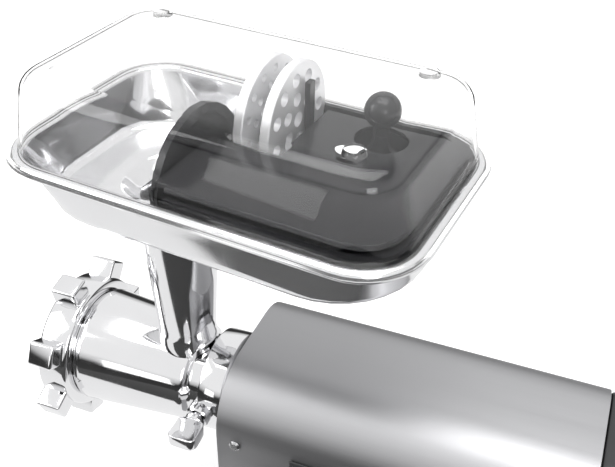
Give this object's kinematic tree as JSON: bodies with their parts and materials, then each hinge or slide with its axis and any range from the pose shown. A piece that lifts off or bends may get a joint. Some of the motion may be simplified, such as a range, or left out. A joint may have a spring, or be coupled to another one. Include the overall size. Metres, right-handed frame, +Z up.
{
  "type": "electric meat grinder",
  "caption": "Countertop electric meat grinder with a polished head and wing-lobed nut, a lidded feed pan holding spare plates and a stomper, and a brushed steel motor housing.",
  "frame": {"origin": "middle of the bounding box, at table level under the feet", "axes": "+X from the ring nut towards the motor along the auger's axis, +Z up, -Y the side with the controls and the lock knob"},
  "size_m": [0.413, 0.1784, 0.362],
  "materials": {
    "brushed_steel": "fine lengthwise brushing",
    "black_plastic": "satin black",
    "gloss_black": "glossy black",
    "rubber": "matt black",
    "steel": "machined",
    "badge": "plain pale oval, blank",
    "cast_metal": "cast, slightly rough",
    "polished_metal": "polished",
    "copper": "enamelled winding",
    "nylon": "natural nylon",
    "clear_plastic": "clear, smooth"
  },
  "bodies": {
    "machine": {"housing_wrap": "brushed_steel", "front_panel": "brushed_steel", "rear_cap": "black_plastic", "base_plate": "black_plastic", "foot_1": "rubber", "foot_2": "rubber", "foot_3": "rubber", "foot_4": "rubber", "foot_screw_1": "steel", "foot_screw_2": "steel", "foot_screw_3": "steel", "foot_screw_4": "steel", "side_screw_near": "steel", "side_screw_far": "steel", "control_panel": "black_plastic", "cord_gland": "rubber", "gearbox_case": "cast_metal", "gearbox_cover": "cast_metal", "output_front_bearing": "steel", "output_rear_bearing": "steel", "front_motor_bracket": "cast_metal", "rear_motor_bracket": "cast_metal", "front_motor_bearing": "steel", "rear_motor_bearing": "steel", "motor_stator": "steel", "front_field_coil": "copper", "rear_field_coil": "copper", "brush_holder_near": "copper", "brush_holder_far": "copper", "socket_collar": "polished_metal"},
    "rotor": {"motor_shaft": "steel", "rotor_core": "steel", "commutator": "copper", "motor_pinion": "steel", "cooling_fan": "nylon"},
    "idler": {"idler_shaft": "steel", "idler_wheel": "nylon", "idler_pinion": "steel"},
    "output": {"output_shaft": "steel", "output_gear": "steel"},
    "head": {"grinder_head": "polished_metal", "grinding_plate": "steel"},
    "feed_auger": {"auger": "cast_metal", "knife": "steel"},
    "nut": {"ring_nut": "polished_metal"},
    "knob": {"lock_knob": "polished_metal"},
    "pan": {"meat_pan": "polished_metal", "accessory_caddy": "gloss_black", "caddy_cover": "gloss_black", "caddy_badge": "badge", "fine_plate": "steel", "coarse_plate": "steel", "stomper_body": "gloss_black", "stomper_knob": "gloss_black"},
    "lid": {"clear_lid": "clear_plastic"},
    "rocker": {"power_rocker": "gloss_black"},
    "reverse": {"reverse_button": "gloss_black"}
  },
  "joints": [
    {"name": "motor_spin", "type": "hinge", "parent": "machine", "child": "rotor", "pos_m": [0.0705, 0.00567, 0.1015], "axis": [1, 0, 0], "continuous": true},
    {"name": "idler_spin", "type": "hinge", "parent": "machine", "child": "idler", "pos_m": [-0.0295, 0.00567, 0.0655], "axis": [1, 0, 0], "continuous": true},
    {"name": "output_spin", "type": "hinge", "parent": "machine", "child": "output", "pos_m": [-0.0495, 0.00567, 0.118], "axis": [1, 0, 0], "continuous": true},
    {"name": "head_slide", "type": "slide", "parent": "machine", "child": "head", "axis": [-1, 0, 0], "range_m": [0, 0.09]},
    {"name": "auger_spin", "type": "hinge", "parent": "head", "child": "feed_auger", "pos_m": [-0.1395, 0.00567, 0.118], "axis": [1, 0, 0], "continuous": true},
    {"name": "nut_turn", "type": "hinge", "parent": "head", "child": "nut", "pos_m": [-0.1945, 0.00567, 0.118], "axis": [1, 0, 0], "range_deg": [0, 360]},
    {"name": "knob_turn", "type": "hinge", "parent": "machine", "child": "knob", "pos_m": [-0.0845, -0.03433, 0.118], "axis": [0, -1, 0], "range_deg": [-90, 90]},
    {"name": "pan_lift", "type": "slide", "parent": "head", "child": "pan", "axis": [0, 0, 1], "range_m": [0, 0.08]},
    {"name": "lid_lift", "type": "slide", "parent": "pan", "child": "lid", "axis": [0, 0, 1], "range_m": [0, 0.12]},
    {"name": "rocker_tip", "type": "hinge", "parent": "machine", "child": "rocker", "pos_m": [0.0145, -0.05333, 0.107], "axis": [1, 0, 0], "range_deg": [0, 14]},
    {"name": "reverse_press", "type": "slide", "parent": "machine", "child": "reverse", "axis": [0, 1, 0], "range_m": [0, 0.003], "stiffness_N_per_m": 400, "springref_m": -0.0005}
  ],
  "couplings": [
    {"joint": "idler_spin", "follows": "motor_spin", "ratio": -0.14286},
    {"joint": "output_spin", "follows": "motor_spin", "ratio": 0.02381},
    {"joint": "auger_spin", "follows": "motor_spin", "ratio": 0.02381}
  ]
}
